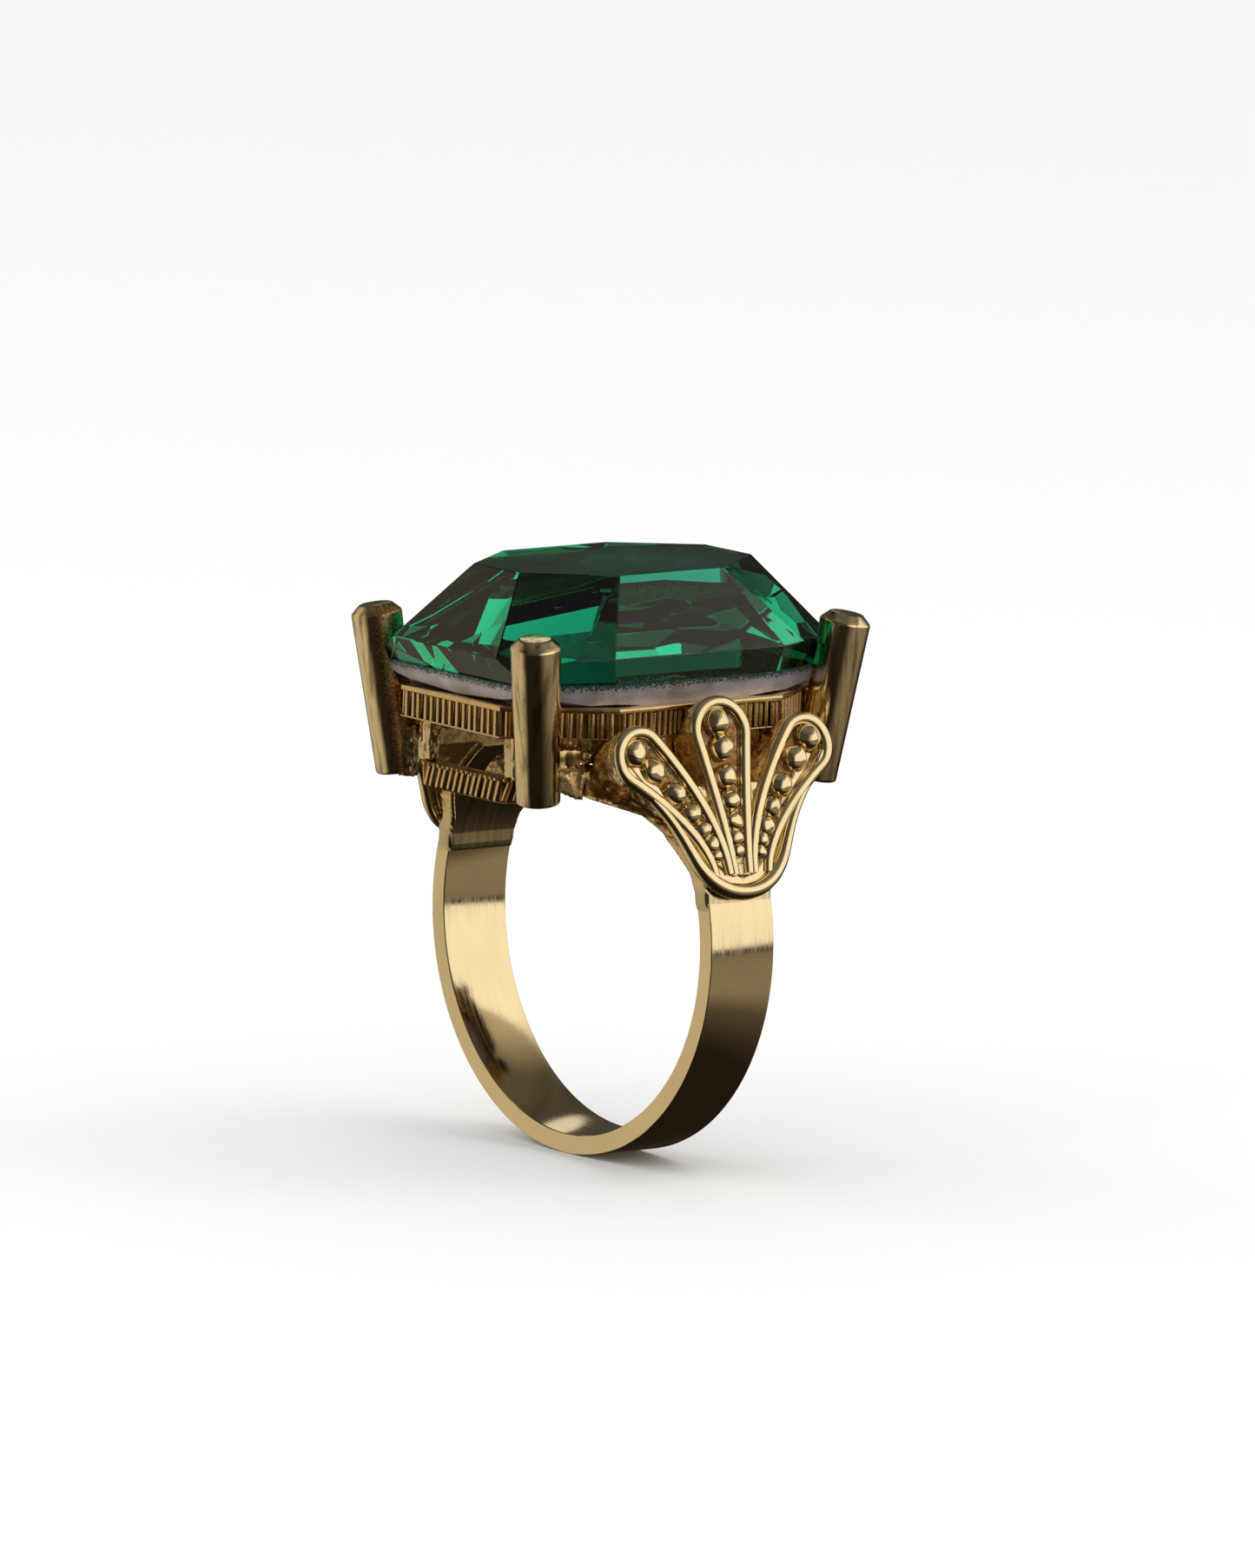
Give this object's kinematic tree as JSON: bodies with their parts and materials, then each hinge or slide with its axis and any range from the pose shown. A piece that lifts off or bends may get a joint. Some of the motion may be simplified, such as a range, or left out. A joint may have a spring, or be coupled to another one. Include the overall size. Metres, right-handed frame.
{
  "type": "cocktail ring",
  "caption": "Cocktail ring: a long octagonal green glass stone, foil backed, in a four-claw open basket on a flat band with beaded palmette shoulders.",
  "frame": {"origin": "centre of the finger hole, on the middle of the band's width", "axes": "+Y along the finger, +Z from the finger to the stone, +X to the right shoulder seen from the front"},
  "size_m": [0.0204, 0.019, 0.0258],
  "materials": {
    "polished_gold": "polished",
    "cast_gold": "as cast, darker in the recesses",
    "green_glass": "polished facets",
    "silver_foil": "speckled foil paint"
  },
  "bodies": {
    "root": {"band": "polished_gold", "right_shoulder": "cast_gold", "right_fan_plate": "cast_gold", "right_fan_border": "polished_gold", "right_front_rim": "polished_gold", "right_middle_rim": "polished_gold", "right_back_rim": "polished_gold", "right_front_grains": "polished_gold", "right_middle_grains": "polished_gold", "right_back_grains": "polished_gold", "left_shoulder": "cast_gold", "left_fan_plate": "cast_gold", "left_fan_border": "polished_gold", "left_front_rim": "polished_gold", "left_middle_rim": "polished_gold", "left_back_rim": "polished_gold", "left_front_grains": "polished_gold", "left_middle_grains": "polished_gold", "left_back_grains": "polished_gold", "upper_rail": "polished_gold", "front_lower_rail": "polished_gold", "back_lower_rail": "polished_gold", "right_side_wall": "cast_gold", "left_side_wall": "cast_gold", "gallery_posts": "cast_gold", "upper_claw_webs": "cast_gold", "lower_claw_webs": "cast_gold", "corner_grains": "polished_gold", "front_right_claw": "polished_gold", "front_left_claw": "polished_gold", "back_right_claw": "polished_gold", "back_left_claw": "polished_gold", "foil_backing": "silver_foil", "stone": "green_glass"}
  },
  "joints": []
}
